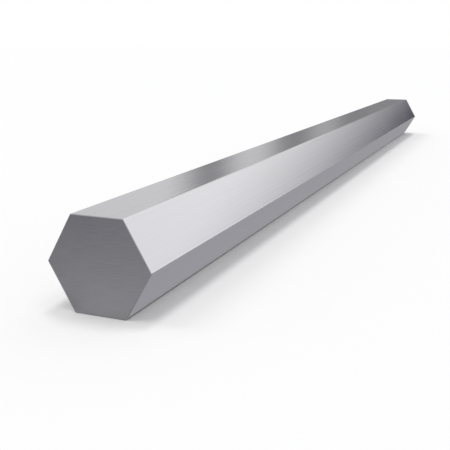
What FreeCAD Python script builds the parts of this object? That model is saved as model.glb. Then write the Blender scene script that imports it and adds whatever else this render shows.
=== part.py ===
import FreeCAD, Part
import math
import os
import Sketcher

# Hexagonal bar stock, cold drawn and cut square to length. It lies on one flat.
# Frame: +X along the bar, +Z up, origin at the middle of the flat that it rests on.
# All sizes are in millimetres.

NODE = "hex_bar"
SHEET = "dimensions"
SIDES = 6
REBUILDS = 3

DIMENSIONS = [
    ("across_flats", 30.0, "distance between two opposite flats, the size the bar is sold by"),
    ("bar_length", 500.0, "cut length from end face to end face"),
    ("corner_radius", 0.4, "radius that the drawing die leaves on each long corner"),
    ("end_break", 0.2, "width of the deburred edge round each cut end"),
]

# The bar is drawn one break too long at each end, and what lies outside a cutting form is then taken off.
# The form stands one break clear of the flats, so its own chamfer is two breaks wide.
AXIS_HEIGHT = f"{SHEET}.across_flats / 2"
DRAWN_ACROSS = f"{SHEET}.across_flats"
DRAWN_LENGTH = f"{SHEET}.bar_length + 2 * {SHEET}.end_break"
DRAWN_RADIUS = f"{SHEET}.corner_radius"
FORM_ACROSS = f"{SHEET}.across_flats + 2 * {SHEET}.end_break"
FORM_LENGTH = f"{SHEET}.bar_length"
FORM_CHAMFER = f"2 * {SHEET}.end_break"


def make_sheet(doc):
    """Spreadsheet with one driving dimension in each row."""
    sheet = doc.addObject("Spreadsheet::Sheet", SHEET)
    for row, (alias, value, meaning) in enumerate(DIMENSIONS, start=1):
        sheet.set(f"A{row}", meaning)
        sheet.set(f"B{row}", str(value))
        sheet.setAlias(f"B{row}", alias)
    doc.recompute()
    return sheet


def origin_plane(body, role):
    """One of the body's own base planes."""
    return next(plane for plane in body.Origin.OriginFeatures if plane.Role == role)


def corner(index, across_flats):
    """Corner of a hexagon that rests on the first sketch axis, counted from the lower right one."""
    angle = math.radians(360.0 / SIDES * (index - 1))
    reach = across_flats / 2 / math.cos(math.pi / SIDES)
    return FreeCAD.Vector(reach * math.cos(angle), reach * math.sin(angle) + across_flats / 2, 0)


def draw_hexagon(body, name, first_size, across):
    """Regular hexagon round the bar's axis, held by the circle through its corners, with a flat below."""
    sketch = body.newObject("Sketcher::SketchObject", name)
    sketch.AttachmentSupport = (origin_plane(body, "YZ_Plane"), [""])
    sketch.MapMode = "FlatFace"

    corners = [corner(index, first_size) for index in range(SIDES)]
    for index in range(SIDES):
        following = (index + 1) % SIDES
        sketch.addGeometry(Part.LineSegment(corners[index], corners[following]), False)
    centre = FreeCAD.Vector(0, first_size / 2, 0)
    around = Part.Circle(centre, FreeCAD.Vector(0, 0, 1), corners[0].distanceToPoint(centre))
    circle = sketch.addGeometry(around, True)

    start, end, middle = 1, 2, 3
    origin, second_axis = -1, -2
    bottom_side = SIDES - 1
    top_side = SIDES // 2 - 1
    for index in range(SIDES):
        following = (index + 1) % SIDES
        sketch.addConstraint(Sketcher.Constraint("Coincident", index, end, following, start))
        sketch.addConstraint(Sketcher.Constraint("PointOnObject", index, start, circle))
    for index in range(1, SIDES):
        sketch.addConstraint(Sketcher.Constraint("Equal", 0, index))
    sketch.addConstraint(Sketcher.Constraint("Horizontal", bottom_side))
    sketch.addConstraint(Sketcher.Constraint("PointOnObject", circle, middle, second_axis))

    height = Sketcher.Constraint("DistanceY", origin, start, circle, middle, first_size / 2)
    size = Sketcher.Constraint("DistanceY", bottom_side, end, top_side, start, first_size)
    for label, constraint, expression in (("axis_height", height, AXIS_HEIGHT), ("across", size, across)):
        sketch.renameConstraint(sketch.addConstraint(constraint), label)
        sketch.setExpression(f"Constraints.{label}", expression)
    return sketch


def pad_prism(body, name, sketch, length):
    """The hexagon drawn out to a length, half of it to each side of the origin."""
    pad = body.newObject("PartDesign::Pad", name)
    pad.Profile = sketch
    pad.SideType = "Symmetric"
    pad.setExpression("Length", length)
    sketch.Visibility = False
    return pad


def settle(doc, *features):
    """Rebuild until the edges keep the names by which the next feature picks them."""
    for _ in range(REBUILDS):
        for feature in features:
            feature.touch()
        doc.recompute()


def edge_names(feature, wanted):
    """Names of the feature's edges whose two end points satisfy a test."""
    names = []
    for number, edge in enumerate(feature.Shape.Edges, start=1):
        if wanted(edge.Vertexes[0].Point, edge.Vertexes[-1].Point):
            names.append(f"Edge{number}")
    return names


def runs_along_bar(first, last):
    """True of an edge that runs from one end of the bar to the other."""
    return first.x * last.x < 0


def lies_on_an_end(first, last):
    """True of an edge that stays on one end face."""
    return first.x * last.x > 0


def draw_bar(doc, sheet):
    """The bar as the die leaves it, with its long corners rounded, before it is cut to length."""
    body = doc.addObject("PartDesign::Body", NODE)
    body.Label = NODE
    section = draw_hexagon(body, "section", sheet.across_flats, DRAWN_ACROSS)
    pad = pad_prism(body, "drawn_length", section, DRAWN_LENGTH)
    settle(doc, section, pad)
    rounded = body.newObject("PartDesign::Fillet", "drawn_corners")
    rounded.Base = (pad, edge_names(pad, runs_along_bar))
    rounded.setExpression("Radius", DRAWN_RADIUS)
    settle(doc, section, pad, rounded)
    return body


def make_cutting_form(doc, sheet):
    """The space that sawing and deburring leave: the cut length, with the end edges off at 45 degrees."""
    body = doc.addObject("PartDesign::Body", "cutting_form")
    outline = draw_hexagon(body, "form_outline", sheet.across_flats, FORM_ACROSS)
    pad = pad_prism(body, "cut_length", outline, FORM_LENGTH)
    settle(doc, outline, pad)
    chamfer = body.newObject("PartDesign::Chamfer", "form_chamfer")
    chamfer.Base = (pad, edge_names(pad, lies_on_an_end))
    chamfer.setExpression("Size", FORM_CHAMFER)
    settle(doc, outline, pad, chamfer)
    return body


def cut_to_length(doc, bar, form):
    """Keep what of the drawn bar lies inside the cutting form."""
    common = bar.newObject("PartDesign::Boolean", "sawn_and_deburred")
    common.Type = "Common"
    common.Group = [form]
    bar.Tip = common
    bar.Placement = FreeCAD.Placement(FreeCAD.Vector(0, 0, 0), FreeCAD.Rotation())
    doc.recompute()


def check(doc, body):
    """Stop if an object failed, or if the body isn't one valid solid."""
    for item in doc.Objects:
        if "Invalid" in item.State or "Error" in item.State:
            raise RuntimeError(f"{item.Label} failed: {item.State}")
    shape = body.Shape
    if shape.isNull() or not shape.isValid() or len(shape.Solids) != 1:
        raise RuntimeError(f"{body.Label} isn't one valid solid")


doc = FreeCAD.newDocument("hex_bar_stock")
sheet = make_sheet(doc)
bar = draw_bar(doc, sheet)
cut_to_length(doc, bar, make_cutting_form(doc, sheet))
check(doc, bar)
os.makedirs("parts", exist_ok=True)
bar.Shape.exportStep(f"parts/{bar.Label}.step")
box = bar.Shape.BoundBox
size = f"{box.XLength:.3f} x {box.YLength:.3f} x {box.ZLength:.3f} mm"
print(f"{bar.Label}: {size}, {bar.Shape.Volume:.1f} mm3")
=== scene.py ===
"""Hexagonal bar stock: one piece of bright drawn steel that lies on a flat, on a pale studio floor."""

import math

import bpy
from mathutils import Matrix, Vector


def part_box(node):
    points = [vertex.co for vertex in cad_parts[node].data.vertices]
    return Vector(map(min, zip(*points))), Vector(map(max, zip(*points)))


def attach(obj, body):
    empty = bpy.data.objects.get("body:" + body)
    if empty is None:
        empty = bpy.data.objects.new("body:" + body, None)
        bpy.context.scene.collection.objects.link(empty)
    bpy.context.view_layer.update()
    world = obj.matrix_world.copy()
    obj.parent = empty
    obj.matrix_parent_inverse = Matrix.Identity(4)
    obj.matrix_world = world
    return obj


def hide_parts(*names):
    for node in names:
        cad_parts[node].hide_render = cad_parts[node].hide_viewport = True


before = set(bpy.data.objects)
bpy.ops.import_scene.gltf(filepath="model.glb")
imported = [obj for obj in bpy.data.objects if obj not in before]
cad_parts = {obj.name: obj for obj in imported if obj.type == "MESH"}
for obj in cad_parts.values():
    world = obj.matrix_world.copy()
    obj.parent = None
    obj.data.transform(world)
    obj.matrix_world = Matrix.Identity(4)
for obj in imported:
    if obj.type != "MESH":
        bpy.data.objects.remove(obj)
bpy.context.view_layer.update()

BODY = "root"
NODE = "hex_bar"

low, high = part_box(NODE)

# The bar, in metres
SIDES = 6
BAR_LENGTH = high.x - low.x
ACROSS_FLATS = high.z - low.z
ACROSS_CORNERS = ACROSS_FLATS / math.cos(math.pi / SIDES)
HALF_SIDE = ACROSS_FLATS / 2 * math.tan(math.pi / SIDES)
AXIS_HEIGHT = low.z + ACROSS_FLATS / 2
CORNER_RADIUS = 0.0004
END_BREAK = 0.0002
CORNER_STEPS = 6
LENGTH_STEPS = 40

# Its finish, in metres: depths of the relief, width of the bright strip beside a corner, and
# the saw blade's centre, across the bar and up, which the marks on the ends run round.
# The drawn lines are so many times deeper on the top flat.
DRAWN_RELIEF = 0.000006
TOP_FLAT_DEEPER = 3.5
SAWN_RELIEF = 0.000004
FILED_RELIEF = 0.000003
BURNISH_WIDTH = 0.001
BLADE_CENTRE = (0.010, 0.190)

# Texture map: the six flats side by side above, the two ends below with their edges drawn wider
MAP_NAME = "OFBake"
MAP_MARGIN = 0.006
MAP_SPLIT = 0.31
EDGE_ON_MAP = 1.05
DRAWN, SAWN, FILED = range(3)

# Camera, as in the photograph
CAMERA_PLACE = (-0.4165, -0.1086, 0.0762)
CAMERA_HEADING = math.radians(22.59)
CAMERA_DIP = math.radians(13.99)
CAMERA_LENS = 57.2
SENSOR_WIDTH = 36.0

# Floor, sky and lamps
FLOOR_HALF = 120.0
FLOOR_COLOUR = (0.972, 0.972, 0.974)
SKY_AMBIENT = 0.58
NEAR_STRENGTH = 0.58
FAR_STRENGTH = 0.36
SUN_SPREAD = math.radians(17.0)
SUN_TILT = math.radians(14.0)
LEFT_STRENGTH = 0.388
LEFT_TILT = math.radians(36.0)
RIGHT_STRENGTH = 0.173
RIGHT_TILT = math.radians(25.0)
SIDE_SPREAD = math.radians(20.0)

# Wall that only the metal shows
SURROUND_RADIUS = 60.0
WALL_COLUMNS = 72
WALL_ROWS = 20
WALL_TOP_DEGREES = 80.0
WALL_DARK = (0.075, 0.072, 0.094)
WALL_DARK_BELOW = math.radians(4.35)
WALL_WHITE_ABOVE = math.radians(14.0)
WALL_GRADE = 1.5
WALL_BRIGHTEST = math.radians(18.0)
WALL_WAVES = 3.0
WALL_WAVE_DEPTH = 0.40

# Cards that only the metal shows: step of their mesh, lift of each layer over the floor, share that
# is left after a bounce from the floor, and how far the shade under the bar reaches past its flat
CARD_STEP_DEGREES = 2.0
CARD_LIFT = 0.00003
CARD_BOUNCE = 0.5
REST_MARGIN = 0.0005


def add(tree, kind, inputs=None, **settings):
    """New node in a tree. Each input gets a number, a colour or another node's output."""
    node = tree.nodes.new(kind)
    for name, value in settings.items():
        setattr(node, name, value)
    for name, value in (inputs or {}).items():
        if isinstance(value, bpy.types.NodeSocket):
            tree.links.new(value, node.inputs[name])
        else:
            node.inputs[name].default_value = value
    return node


def maths(tree, operation, first, second=0.0):
    """Output of a Math node."""
    return add(tree, "ShaderNodeMath", {0: first, 1: second}, operation=operation).outputs[0]


def scaled(tree, value, factor):
    """An output times a number or another output."""
    return maths(tree, "MULTIPLY", value, factor)


def total(tree, first, *others):
    """Sum of outputs."""
    result = first
    for value in others:
        result = maths(tree, "ADD", result, value)
    return result


def mapped(tree, value, start, end, low_value, high_value, curve="SMOOTHSTEP"):
    """Output of a Map Range node, which holds its end values outside the range."""
    inputs = {"Value": value, "From Min": start, "From Max": end, "To Min": low_value, "To Max": high_value}
    return add(tree, "ShaderNodeMapRange", inputs, interpolation_type=curve).outputs["Result"]


def blended(tree, factor, first, second):
    """Output of a node that mixes two colours."""
    node = add(tree, "ShaderNodeMix", {"Factor": factor}, data_type="RGBA")
    colours = [socket for socket in node.inputs if socket.type == "RGBA"]
    for socket, value in zip(colours, (first, second), strict=True):
        if isinstance(value, bpy.types.NodeSocket):
            tree.links.new(value, socket)
        else:
            socket.default_value = (*value, 1.0)
    return next(socket for socket in node.outputs if socket.type == "RGBA")


def noise(tree, place, grains, detail=2.0, shift=(0.0, 0.0, 0.0)):
    """Output of a noise, from 0 to 1, with so many grains to the metre along each axis."""
    spread = add(tree, "ShaderNodeMapping", {"Vector": place, "Location": shift, "Scale": grains})
    inputs = {"Vector": spread.outputs["Vector"], "Scale": 1.0, "Detail": detail}
    return add(tree, "ShaderNodeTexNoise", inputs).outputs["Fac"]


def new_material(name):
    """Material with an empty node tree. Returns it with its tree."""
    material = bpy.data.materials.new(name)
    material.use_nodes = True
    material.node_tree.nodes.clear()
    return material, material.node_tree


def show(tree, shader):
    """Link a shader to the material's output."""
    output = add(tree, "ShaderNodeOutputMaterial")
    tree.links.new(shader, output.inputs["Surface"])


def show_metal(tree, colour, roughness, height, relief):
    """Link bare metal to the material's output, with a relief of some depth in metres."""
    bump = add(tree, "ShaderNodeBump", {"Strength": 1.0, "Distance": relief, "Height": height})
    normal = bump.outputs["Normal"]
    inputs = {"Base Color": colour, "Metallic": 1.0, "Roughness": roughness, "Normal": normal}
    show(tree, add(tree, "ShaderNodeBsdfPrincipled", inputs).outputs["BSDF"])


def object_place(tree):
    """Object coordinates: metres in the bar's own frame."""
    return add(tree, "ShaderNodeTexCoord").outputs["Object"]


def corner_nearness(tree, place):
    """1 at the middle of each rounded corner, 0 at the burnish width from where its flats would meet."""
    parts = add(tree, "ShaderNodeSeparateXYZ", {"Vector": place})
    height = maths(tree, "SUBTRACT", parts.outputs["Z"], AXIS_HEIGHT)
    outward = add(tree, "ShaderNodeCombineXYZ", {"Y": parts.outputs["Y"], "Z": height})
    reach = add(tree, "ShaderNodeVectorMath", {0: outward.outputs["Vector"]}, operation="LENGTH")
    rounded = ACROSS_CORNERS / 2 - CORNER_RADIUS * (1 / math.cos(math.pi / SIDES) - 1)
    beside = math.hypot(ACROSS_FLATS / 2, HALF_SIDE - BURNISH_WIDTH)
    return mapped(tree, reach.outputs["Value"], beside, rounded, 0.0, 1.0)


def line_depth(tree, place):
    """1, and more on the top flat, where the drawing die has left deeper lines."""
    height = add(tree, "ShaderNodeSeparateXYZ", {"Vector": place}).outputs["Z"]
    corner_end = high.z - CORNER_RADIUS
    corner_top = high.z - CORNER_RADIUS / 4
    return mapped(tree, height, corner_end, corner_top, 1.0, TOP_FLAT_DEEPER)


def drawn_steel():
    """Bright drawn surface: fine lines and grooves along the bar, soft smudges and burnished corners."""
    material, tree = new_material("bright_drawn_steel")
    place = object_place(tree)
    lines = noise(tree, place, (4.0, 5000.0, 5000.0), detail=1.0)
    grooves = noise(tree, place, (9.0, 900.0, 900.0), detail=1.0, shift=(7.0, 5.0, 4.0))
    bands = noise(tree, place, (2.0, 260.0, 260.0), shift=(3.0, 1.0, 2.0))
    smudges = noise(tree, place, (15.75, 45.0, 45.0), detail=3.0)
    scratch = mapped(tree, grooves, 0.70, 0.78, 0.0, 1.0)
    corner = corner_nearness(tree, place)

    dark_line, light_line = (0.710, 0.706, 0.737), (0.736, 0.732, 0.763)
    dull_band = (0.690, 0.686, 0.717)
    dark_scratch = (0.580, 0.578, 0.600)
    burnished = (0.810, 0.806, 0.825)
    colour = blended(tree, mapped(tree, lines, 0.3, 0.7, 0.0, 1.0, "LINEAR"), dark_line, light_line)
    colour = blended(tree, mapped(tree, bands, 0.4, 0.7, 0.0, 0.15), colour, dull_band)
    colour = blended(tree, scaled(tree, scratch, 0.4), colour, dark_scratch)
    colour = blended(tree, scaled(tree, corner, 0.6), colour, burnished)

    drawn = mapped(tree, lines, 0.3, 0.7, 0.075, 0.105, "LINEAR")
    smudged = mapped(tree, smudges, 0.35, 0.70, 0.0, 0.035)
    roughness = total(tree, drawn, smudged, scaled(tree, corner, 0.05), scaled(tree, scratch, 0.08))

    height = total(tree, lines, scaled(tree, grooves, 2.0), scaled(tree, scratch, -0.8))
    height = scaled(tree, height, line_depth(tree, place))
    show_metal(tree, colour, roughness, height, DRAWN_RELIEF)
    return material


def place_at_blade(tree, parts):
    """Place on an end as the saw marks it: metres from the blade's centre and metres round it."""
    across = maths(tree, "SUBTRACT", parts["Y"], BLADE_CENTRE[0])
    up = maths(tree, "SUBTRACT", parts["Z"], BLADE_CENTRE[1])
    reach = maths(tree, "SQRT", total(tree, scaled(tree, across, across), scaled(tree, up, up)))
    sweep = scaled(tree, maths(tree, "ARCTAN2", up, across), math.hypot(*BLADE_CENTRE))
    return add(tree, "ShaderNodeCombineXYZ", {"X": reach, "Y": sweep}).outputs["Vector"]


def cut_steel():
    """Sawn end: matt, with curved blade marks and fine scratches along them; darker, partly as painted
    shade.
    """
    material, tree = new_material("sawn_steel")
    place = object_place(tree)
    parts = add(tree, "ShaderNodeSeparateXYZ", {"Vector": place}).outputs
    depth = mapped(tree, parts["Z"], low.z, high.z, 1.0, 0.0, "LINEAR")
    blade = place_at_blade(tree, parts)
    marks = noise(tree, blade, (1500.0, 12.0, 1.0))
    scratches = noise(tree, blade, (5000.0, 160.0, 1.0), shift=(2.0, 5.0, 0.0))
    clouds = noise(tree, place, (90.0, 90.0, 90.0))

    # Both tones lie well below bare steel, partly as the sawn finish and partly as painted shade.
    # Painted shade and light: the end's colour is darker towards the top and lighter towards the bottom.
    painted_shade_top, painted_light_bottom = (0.292, 0.288, 0.314), (0.392, 0.389, 0.408)
    dark_mark = (0.230, 0.230, 0.246)
    light_scratch = (0.430, 0.428, 0.442)
    pale_cloud = (0.420, 0.418, 0.434)
    colour = blended(tree, depth, painted_shade_top, painted_light_bottom)
    colour = blended(tree, mapped(tree, marks, 0.3, 0.7, 0.0, 0.08, "LINEAR"), colour, dark_mark)
    colour = blended(tree, mapped(tree, scratches, 0.35, 0.70, 0.0, 0.11), colour, light_scratch)
    colour = blended(tree, mapped(tree, clouds, 0.35, 0.7, 0.0, 0.08), colour, pale_cloud)

    scratched = mapped(tree, scratches, 0.3, 0.7, 0.56, 0.44, "LINEAR")
    roughness = total(tree, scratched, scaled(tree, depth, 0.04))
    height = total(tree, scaled(tree, marks, 1.5), scratches)
    show_metal(tree, colour, roughness, height, SAWN_RELIEF)
    return material


def filed_steel():
    """Narrow deburred edge round each end: dull grey, with small file marks."""
    material, tree = new_material("deburred_steel")
    strokes = noise(tree, object_place(tree), (4800.0, 1600.0, 1600.0))
    colour = blended(tree, strokes, (0.410, 0.409, 0.425), (0.480, 0.478, 0.495))
    roughness = mapped(tree, strokes, 0.3, 0.7, 0.42, 0.50, "LINEAR")
    show_metal(tree, colour, roughness, strokes, FILED_RELIEF)
    return material


def heading(sides):
    """Unit vector across the bar, turned by a number of sides of the hexagon from one of its corners."""
    angle = 2 * math.pi / SIDES * sides
    return Vector((math.cos(angle), math.sin(angle)))


def section():
    """Hexagon with rounded corners, across the bar and round its axis: places and outward normals."""
    middle_reach = ACROSS_CORNERS / 2 - CORNER_RADIUS / math.cos(math.pi / SIDES)
    points = []
    for side in range(SIDES):
        centre = heading(side) * middle_reach
        for step in range(CORNER_STEPS + 1):
            outward = heading(side + step / CORNER_STEPS - 0.5)
            points.append((centre + outward * CORNER_RADIUS, outward))
    return points


def flat_facing(point):
    """Outward normal of the flat that is nearest to a point of the section."""
    sides = math.atan2(point.y, point.x) / (2 * math.pi / SIDES)
    return heading(math.floor(sides) + 0.5)


def place_in_frame(x, point):
    """Place in the bar's frame of a point of the section."""
    return Vector((x, point.x, point.y + AXIS_HEIGHT))


def ring(x):
    """The section's points at one place along the bar."""
    return [place_in_frame(x, point) for point, _ in section()]


def break_ring(way):
    """Where flats and corners meet the deburred edge of one end. At the corners it lies further out."""
    places = []
    for point, _ in section():
        short_of_flat = ACROSS_FLATS / 2 - point.dot(flat_facing(point))
        places.append(place_in_frame(way * (BAR_LENGTH / 2 - END_BREAK + short_of_flat), point))
    return places


def sawn_outline():
    """Hexagon one break inside the flats, with a point for each point of the section."""
    points = []
    for point, _ in section():
        points.append(point * (ACROSS_FLATS / 2 - END_BREAK) / point.dot(flat_facing(point)))
    return points


def perimeter_shares():
    """How far round each point of the section lies, from 0 to 1, and the first one again at 1."""
    points = [point for point, _ in section()]
    runs = [0.0]
    for index, point in enumerate(points):
        following = points[(index + 1) % len(points)]
        runs.append(runs[-1] + (following - point).length)
    return [run / runs[-1] for run in runs]


class Skin:
    """Faces of the bar's surface, each with its normals, its place on the texture map and its finish."""

    def __init__(self):
        self.places = []
        self.faces = []
        self.normals = []
        self.map_places = []
        self.finishes = []

    def add_ring(self, places):
        """New points. Returns their numbers."""
        first = len(self.places)
        self.places.extend(places)
        return list(range(first, first + len(places)))

    def add_face(self, corners, normals, map_places, finish):
        """New face. Corners run anticlockwise, seen from outside."""
        self.faces.append(corners)
        self.normals.extend(normals)
        self.map_places.extend(map_places)
        self.finishes.append(finish)

    def mesh(self, name, materials):
        """The surface as a mesh with its own normals and texture map."""
        made = bpy.data.meshes.new(name)
        made.from_pydata(self.places, [], self.faces)
        for material in materials:
            made.materials.append(material)
        for polygon, finish in zip(made.polygons, self.finishes, strict=True):
            polygon.material_index = finish
            polygon.use_smooth = True
        layer = made.uv_layers.new(name=MAP_NAME)
        for loop, place in zip(layer.data, self.map_places, strict=True):
            loop.uv = place
        made.normals_split_custom_set(self.normals)
        made.validate()
        return made


def drawn_sides(skin):
    """Flats and corners, from one deburred edge to the other. Returns the first and last ring."""
    outward = [Vector((0.0, normal.x, normal.y)) for _, normal in section()]
    shares = perimeter_shares()
    count = len(outward)
    rings = [skin.add_ring(break_ring(-1))]
    for step in range(1, LENGTH_STEPS):
        rings.append(skin.add_ring(ring(BAR_LENGTH * (step / LENGTH_STEPS - 0.5))))
    rings.append(skin.add_ring(break_ring(1)))

    map_width = 1 - 2 * MAP_MARGIN
    map_height = 1 - MAP_SPLIT - 2 * MAP_MARGIN
    for step in range(LENGTH_STEPS):
        near, far = rings[step], rings[step + 1]
        start = MAP_SPLIT + MAP_MARGIN + map_height * step / LENGTH_STEPS
        end = start + map_height / LENGTH_STEPS
        for index in range(count):
            following = (index + 1) % count
            left = MAP_MARGIN + map_width * shares[index]
            right = MAP_MARGIN + map_width * shares[index + 1]
            corners = [near[index], near[following], far[following], far[index]]
            normals = [outward[index], outward[following], outward[following], outward[index]]
            on_map = [(left, start), (right, start), (right, end), (left, end)]
            skin.add_face(corners, normals, on_map, DRAWN)
    return rings[0], rings[-1]


def cut_end(skin, outer, way):
    """Deburred edge and sawn face at one end. The way is 1 at the +X end and -1 at the other."""
    x = way * BAR_LENGTH / 2
    outline = sawn_outline()
    inner = skin.add_ring([place_in_frame(x, point) for point in outline])
    middle = skin.add_ring([Vector((x, 0.0, AXIS_HEIGHT))])[0]
    face_normal = Vector((way, 0.0, 0.0))
    count = len(outer)
    map_middle = (0.5 + way / 4, MAP_SPLIT / 2)
    map_scale = (MAP_SPLIT - 2 * MAP_MARGIN) / (ACROSS_FLATS * EDGE_ON_MAP)

    def on_map(point, reach=1.0):
        across, up = way * point.x * map_scale * reach, point.y * map_scale * reach
        return (map_middle[0] + across, map_middle[1] + up)

    for index in range(count):
        following = (index + 1) % count
        sideways = flat_facing(outline[index] + outline[following])
        slope = (Vector((0.0, sideways.x, sideways.y)) + face_normal).normalized()
        edge = [outer[index], inner[index], inner[following], outer[following]]
        edge_map = [on_map(outline[index], EDGE_ON_MAP), on_map(outline[index])]
        edge_map += [on_map(outline[following]), on_map(outline[following], EDGE_ON_MAP)]
        face = [middle, inner[following], inner[index]]
        face_map = [map_middle, on_map(outline[following]), on_map(outline[index])]
        if way > 0:
            edge, edge_map = edge[::-1], edge_map[::-1]
            face, face_map = face[::-1], face_map[::-1]
        skin.add_face(edge, [slope] * 4, edge_map, FILED)
        skin.add_face(face, [face_normal] * 3, face_map, SAWN)


def make_bar():
    """The whole bar as one closed mesh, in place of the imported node."""
    skin = Skin()
    near_ring, far_ring = drawn_sides(skin)
    cut_end(skin, near_ring, -1)
    cut_end(skin, far_ring, 1)
    mesh = skin.mesh("drawn_hex_bar", [drawn_steel(), cut_steel(), filed_steel()])
    bar = bpy.data.objects.new("drawn_hex_bar", mesh)
    bpy.context.scene.collection.objects.link(bar)
    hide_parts(NODE)
    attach(bar, BODY)


def make_camera():
    """Camera that looks down the bar from near one end."""
    data = bpy.data.cameras.new("camera")
    data.lens = CAMERA_LENS
    data.sensor_width = SENSOR_WIDTH
    data.clip_start = 0.01
    data.clip_end = 4 * FLOOR_HALF
    camera = bpy.data.objects.new("camera", data)
    level = math.cos(CAMERA_DIP)
    ahead_x = math.cos(CAMERA_HEADING) * level
    ahead_y = math.sin(CAMERA_HEADING) * level
    ahead = Vector((ahead_x, ahead_y, -math.sin(CAMERA_DIP)))
    camera.location = CAMERA_PLACE
    camera.rotation_euler = ahead.to_track_quat("-Z", "Y").to_euler()
    bpy.context.scene.collection.objects.link(camera)
    bpy.context.scene.camera = camera


def stage_object(name, places, faces, material):
    """Mesh that belongs to the studio and not to the bar."""
    mesh = bpy.data.meshes.new(name)
    mesh.from_pydata(places, [], faces)
    mesh.materials.append(material)
    made = bpy.data.objects.new(name, mesh)
    bpy.context.scene.collection.objects.link(made)
    return made


def make_floor():
    """Pale matt floor that keeps the bar's shadow."""
    material, tree = new_material("pale_floor")
    show(tree, add(tree, "ShaderNodeBsdfDiffuse", {"Color": (*FLOOR_COLOUR, 1.0)}).outputs["BSDF"])
    half, height = FLOOR_HALF, low.z
    places = [(-half, -half, height), (half, -half, height), (half, half, height), (-half, half, height)]
    stage_object("floor", places, [(0, 1, 2, 3)], material)


def make_sky():
    """World: white for the picture and for what metal reflects, and a plain light on matt surfaces."""
    world = bpy.data.worlds.new("studio")
    world.use_nodes = True
    tree = world.node_tree
    tree.nodes.clear()
    path = add(tree, "ShaderNodeLightPath").outputs
    seen = maths(tree, "MAXIMUM", path["Is Camera Ray"], path["Is Glossy Ray"])
    seen = maths(tree, "MAXIMUM", seen, path["Is Transmission Ray"])
    level = mapped(tree, seen, 0.0, 1.0, SKY_AMBIENT, 1.0, "LINEAR")
    background = add(tree, "ShaderNodeBackground", {"Color": (1.0, 1.0, 1.0, 1.0), "Strength": level})
    output = add(tree, "ShaderNodeOutputWorld")
    tree.links.new(background.outputs["Background"], output.inputs["Surface"])
    world.cycles.sampling_method = "NONE"
    bpy.context.scene.world = world


def make_lamp(name, strength, spread, turn):
    """Soft distant lamp. It isn't mirrored in the metal."""
    data = bpy.data.lights.new(name, "SUN")
    data.energy = strength
    data.angle = spread
    lamp = bpy.data.objects.new(name, data)
    lamp.rotation_euler = turn
    lamp.visible_glossy = False
    bpy.context.scene.collection.objects.link(lamp)


def make_lamps():
    """Two overhead lamps, tilted a little towards each end of the bar, and one from each side of it."""
    make_lamp("lamp_near", NEAR_STRENGTH, SUN_SPREAD, (0.0, SUN_TILT, 0.0))
    make_lamp("lamp_far", FAR_STRENGTH, SUN_SPREAD, (0.0, -SUN_TILT, 0.0))
    make_lamp("lamp_left", LEFT_STRENGTH, SIDE_SPREAD, (-LEFT_TILT, 0.0, 0.0))
    make_lamp("lamp_right", RIGHT_STRENGTH, SIDE_SPREAD, (RIGHT_TILT, 0.0, 0.0))


def seen_by_metal_only(made):
    """Wall and cards show in the metal, and neither light the floor nor cast a shadow on it."""
    made.visible_camera = False
    made.visible_diffuse = False
    made.visible_transmission = False
    made.visible_shadow = False


def direction(azimuth, elevation):
    """Unit vector. Azimuth is in degrees from +X towards -Y, elevation in degrees above the horizon."""
    turn, rise = math.radians(azimuth), math.radians(elevation)
    level = math.cos(rise)
    return Vector((math.cos(turn) * level, -math.sin(turn) * level, math.sin(rise)))


def card_material(name, colours, soft):
    """Glow, from one colour at the left to another at the right.

    Soft gives the share of the card that fades out at its left, right, bottom and top.
    """
    material, tree = new_material(name)
    place = add(tree, "ShaderNodeTexCoord").outputs["UV"]
    parts = add(tree, "ShaderNodeSeparateXYZ", {"Vector": place}).outputs
    left, right, bottom, top = soft
    shown = mapped(tree, parts["X"], 0.0, left, 0.0, 1.0)
    shown = scaled(tree, shown, mapped(tree, parts["X"], 1.0 - right, 1.0, 1.0, 0.0))
    shown = scaled(tree, shown, mapped(tree, parts["Y"], 0.0, bottom, 0.0, 1.0))
    shown = scaled(tree, shown, mapped(tree, parts["Y"], 1.0 - top, 1.0, 1.0, 0.0))
    bounces = add(tree, "ShaderNodeLightPath").outputs["Diffuse Depth"]
    shown = scaled(tree, shown, mapped(tree, bounces, 0.0, 1.0, 1.0, CARD_BOUNCE, "LINEAR"))
    colour = blended(tree, parts["X"], *colours)
    glow = add(tree, "ShaderNodeEmission", {"Color": colour, "Strength": 1.0})
    clear = add(tree, "ShaderNodeBsdfTransparent")
    card = add(tree, "ShaderNodeMixShader", {"Fac": shown})
    tree.links.new(clear.outputs["BSDF"], card.inputs[1])
    tree.links.new(glow.outputs["Emission"], card.inputs[2])
    show(tree, card.outputs["Shader"])
    material.cycles.emission_sampling = "NONE"
    return material


def card_object(name, places, faces, shares, material):
    """Card with the share across and up it as its texture map."""
    made = stage_object(name, places, faces, material)
    layer = made.data.uv_layers.new(name="share")
    for loop, entry in zip(made.data.loops, layer.data, strict=True):
        entry.uv = shares[loop.vertex_index]
    seen_by_metal_only(made)


def make_card(name, azimuths, elevations, colours, soft, nearer):
    """Curved card far from the bar, so that it lies in the same direction for the whole bar.

    Azimuths and elevations are in degrees, and nearer is how far in front of the wall it stands.
    """
    radius = SURROUND_RADIUS - nearer
    width, height = azimuths[1] - azimuths[0], elevations[1] - elevations[0]
    columns = max(1, math.ceil(width / CARD_STEP_DEGREES))
    rows = max(1, math.ceil(height / CARD_STEP_DEGREES))
    places, shares, faces = [], [], []
    for row in range(rows + 1):
        for column in range(columns + 1):
            across, up = column / columns, row / rows
            azimuth = azimuths[0] + width * across
            elevation = elevations[0] + height * up
            places.append(direction(azimuth, elevation) * radius)
            shares.append((across, up))
    for row in range(rows):
        for column in range(columns):
            first = row * (columns + 1) + column
            faces.append((first, first + 1, first + columns + 2, first + columns + 1))
    card_object(name, places, faces, shares, card_material(name, colours, soft))


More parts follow.
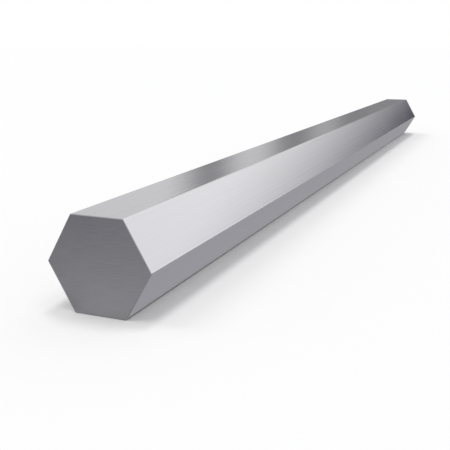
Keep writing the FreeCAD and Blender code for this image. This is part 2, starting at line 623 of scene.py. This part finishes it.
def make_floor_card(name, lengthwise, crosswise, colours, soft, layer):
    """Flat card just above the floor. It paints shade and light onto the floor in what the metal shows."""
    height = low.z + CARD_LIFT * layer
    shares = [(0.0, 0.0), (1.0, 0.0), (1.0, 1.0), (0.0, 1.0)]
    places = []
    for along, across in shares:
        x = lengthwise[0] + (lengthwise[1] - lengthwise[0]) * along
        y = crosswise[0] + (crosswise[1] - crosswise[0]) * across
        places.append((x, y, height))
    card_object(name, places, [(0, 1, 2, 3)], shares, card_material(name, colours, soft))


def wall_material():
    """Studio wall: dark at the horizon, white above, with broad soft changes round the room."""
    material, tree = new_material("studio_wall")
    place = add(tree, "ShaderNodeTexCoord").outputs["Object"]
    outward = add(tree, "ShaderNodeVectorMath", {0: place}, operation="NORMALIZE").outputs["Vector"]
    parts = add(tree, "ShaderNodeSeparateXYZ", {"Vector": outward}).outputs
    rise = maths(tree, "ARCSINE", parts["Z"])
    turn = maths(tree, "ARCTAN2", scaled(tree, parts["Y"], -1.0), parts["X"])
    dark_share = mapped(tree, rise, WALL_DARK_BELOW, WALL_WHITE_ABOVE, 1.0, 0.0, "LINEAR")
    graded = maths(tree, "SUBTRACT", 1.0, maths(tree, "POWER", dark_share, WALL_GRADE))
    phase = maths(tree, "SUBTRACT", turn, WALL_BRIGHTEST)
    wave = maths(tree, "COSINE", scaled(tree, phase, WALL_WAVES))
    level = mapped(tree, wave, -1.0, 1.0, 1.0 - WALL_WAVE_DEPTH, 1.0, "LINEAR")
    colour = blended(tree, scaled(tree, graded, level), WALL_DARK, (1.0, 1.0, 1.0))
    show(tree, add(tree, "ShaderNodeEmission", {"Color": colour, "Strength": 1.0}).outputs["Emission"])
    material.cycles.emission_sampling = "NONE"
    return material


def make_wall():
    """Wall all round the studio and up to near the zenith, where it is open."""
    columns, rows = WALL_COLUMNS, WALL_ROWS
    places, faces = [], []
    for row in range(rows + 1):
        for column in range(columns):
            azimuth, elevation = 360.0 * column / columns, WALL_TOP_DEGREES * row / rows
            places.append(direction(azimuth, elevation) * SURROUND_RADIUS)
    for row in range(rows):
        for column in range(columns):
            first = row * columns + column
            second = row * columns + (column + 1) % columns
            faces.append((first, second, second + columns, first + columns))
    seen_by_metal_only(stage_object("studio_wall", places, faces, wall_material()))


def make_cards():
    """Dark flags and light strips round the studio, which the flats show as soft bands."""
    grey, pale = (0.245, 0.245, 0.255), (0.69, 0.69, 0.70)
    mid, dull, faint = (0.61, 0.61, 0.62), (0.41, 0.41, 0.42), (0.26, 0.26, 0.27)
    dark, lighter = (0.10, 0.10, 0.11), (0.42, 0.42, 0.43)
    make_card("flag_left", (-62.0, 2.0), (-1.0, 32.0), (grey, grey), (0.35, 0.10, 0.01, 0.38), 1.0)
    make_card("panel_left", (-50.0, -23.7), (-1.0, 30.0), (pale, pale), (0.60, 0.14, 0.01, 0.40), 2.0)
    make_card("strip_middle", (-23.9, -17.2), (-1.0, 26.0), (mid, mid), (0.44, 0.44, 0.01, 0.30), 3.0)
    make_card("strip_right", (-16.8, -12.7), (-1.0, 24.0), (dull, dull), (0.45, 0.45, 0.01, 0.30), 4.0)
    make_card("strip_faint", (-12.4, -7.0), (-1.0, 24.0), (faint, faint), (0.30, 0.50, 0.01, 0.30), 5.0)
    make_card("flag_behind", (110.0, 250.0), (-1.0, 40.0), (lighter, dark), (0.25, 0.25, 0.01, 0.30), 1.5)


def make_floor_cards():
    """Painted shade beside the bar and where it rests, and painted light on the floor beyond its ends."""
    inner = HALF_SIDE + REST_MARGIN
    # Painted shade: greyer floor beside the bar, darker towards the far end, shown only in the metal.
    near, far = (0.412, 0.407, 0.430), (0.322, 0.318, 0.338)
    along, out = (-0.75, 0.75), 0.40
    make_floor_card("floor_right", along, (-out, -inner), (near, far), (0.32, 0.32, 0.50, 0.001), 1)
    make_floor_card("floor_left", along, (inner, out), (near, far), (0.32, 0.32, 0.001, 0.50), 1)

    half, beyond = BAR_LENGTH / 2, 0.37
    # Painted light: lighter floor in front of the near end and behind the far end, shown only in the metal.
    lit = (0.75, 0.75, 0.76)
    before, behind = (-beyond, -half), (half, beyond)
    make_floor_card("floor_front", before, (-0.045, 0.065), (lit, lit), (0.65, 0.12, 0.30, 0.30), 2)
    make_floor_card("floor_back", behind, (-0.010, 0.065), (lit, lit), (0.12, 0.65, 0.15, 0.30), 2)

    # Painted shade where the bar rests: a dark line along its lowest flat, shown only in the metal.
    shade = (0.155, 0.155, 0.158)
    under = (-inner, inner)
    make_floor_card("rest", (-half, half), under, (shade, shade), (0.001, 0.001, 0.01, 0.01), 3)


make_camera()
make_bar()
make_floor()
make_sky()
make_lamps()
make_wall()
make_cards()
make_floor_cards()
bpy.context.scene.view_settings.view_transform = "Standard"
